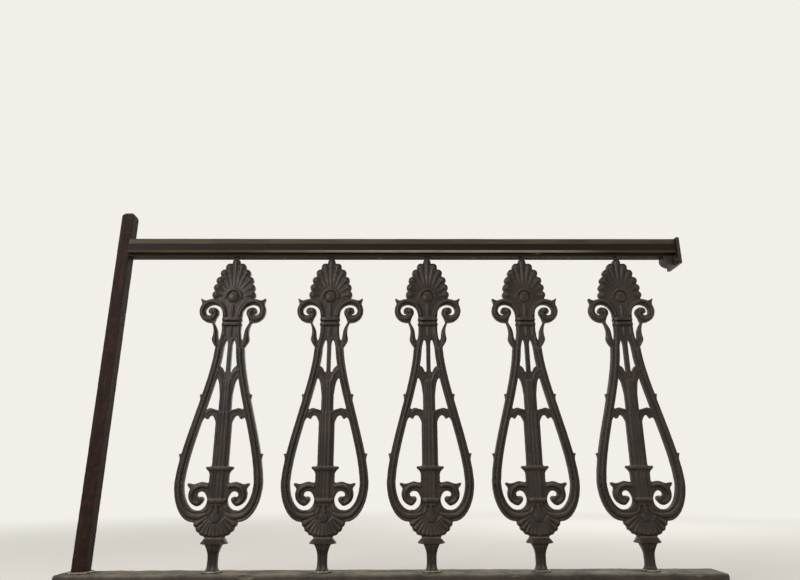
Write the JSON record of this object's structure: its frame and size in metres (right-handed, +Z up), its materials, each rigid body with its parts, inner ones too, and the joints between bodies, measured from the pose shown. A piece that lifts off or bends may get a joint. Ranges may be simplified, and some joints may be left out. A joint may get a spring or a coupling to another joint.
{
  "type": "cast iron landing balustrade",
  "caption": "Straight run of lyre-shaped cast iron balusters with palmettes and scrolls, between a stone kerb and a moulded wooden handrail, from a newel post to a wall bracket.",
  "frame": {"origin": "under the kerb, on the axis of the middle baluster, in the middle plane of the castings", "axes": "+X along the rail towards the wall, +Y across the rail away from the side that the picture shows, +Z up"},
  "size_m": [1.715, 0.1, 1.089],
  "materials": {
    "cast_iron": "old dark paint over cast iron, worn and lightly rusted",
    "wrought_iron": "old brown-black paint over wrought iron, rust at the edges",
    "rail_wood": "dark stained and varnished hardwood, dusty and worn along its top",
    "kerb_stone": "grimy dark limestone, dusty along its upper edge",
    "caulking_lead": "dull grey lead"
  },
  "bodies": {
    "root": {"landing_kerb": "kerb_stone", "newel_post": "wrought_iron", "newel_lead": "caulking_lead", "core_bar": "wrought_iron", "handrail": "rail_wood", "wall_bracket": "wrought_iron", "baluster_1": "cast_iron", "lead_seat_1": "caulking_lead", "tip_pin_1": "wrought_iron", "baluster_2": "cast_iron", "lead_seat_2": "caulking_lead", "tip_pin_2": "wrought_iron", "baluster_3": "cast_iron", "lead_seat_3": "caulking_lead", "tip_pin_3": "wrought_iron", "baluster_4": "cast_iron", "lead_seat_4": "caulking_lead", "tip_pin_4": "wrought_iron", "baluster_5": "cast_iron", "lead_seat_5": "caulking_lead", "tip_pin_5": "wrought_iron", "rail_screw_1": "wrought_iron", "rail_screw_2": "wrought_iron", "rail_screw_3": "wrought_iron", "rail_screw_4": "wrought_iron"}
  },
  "joints": []
}
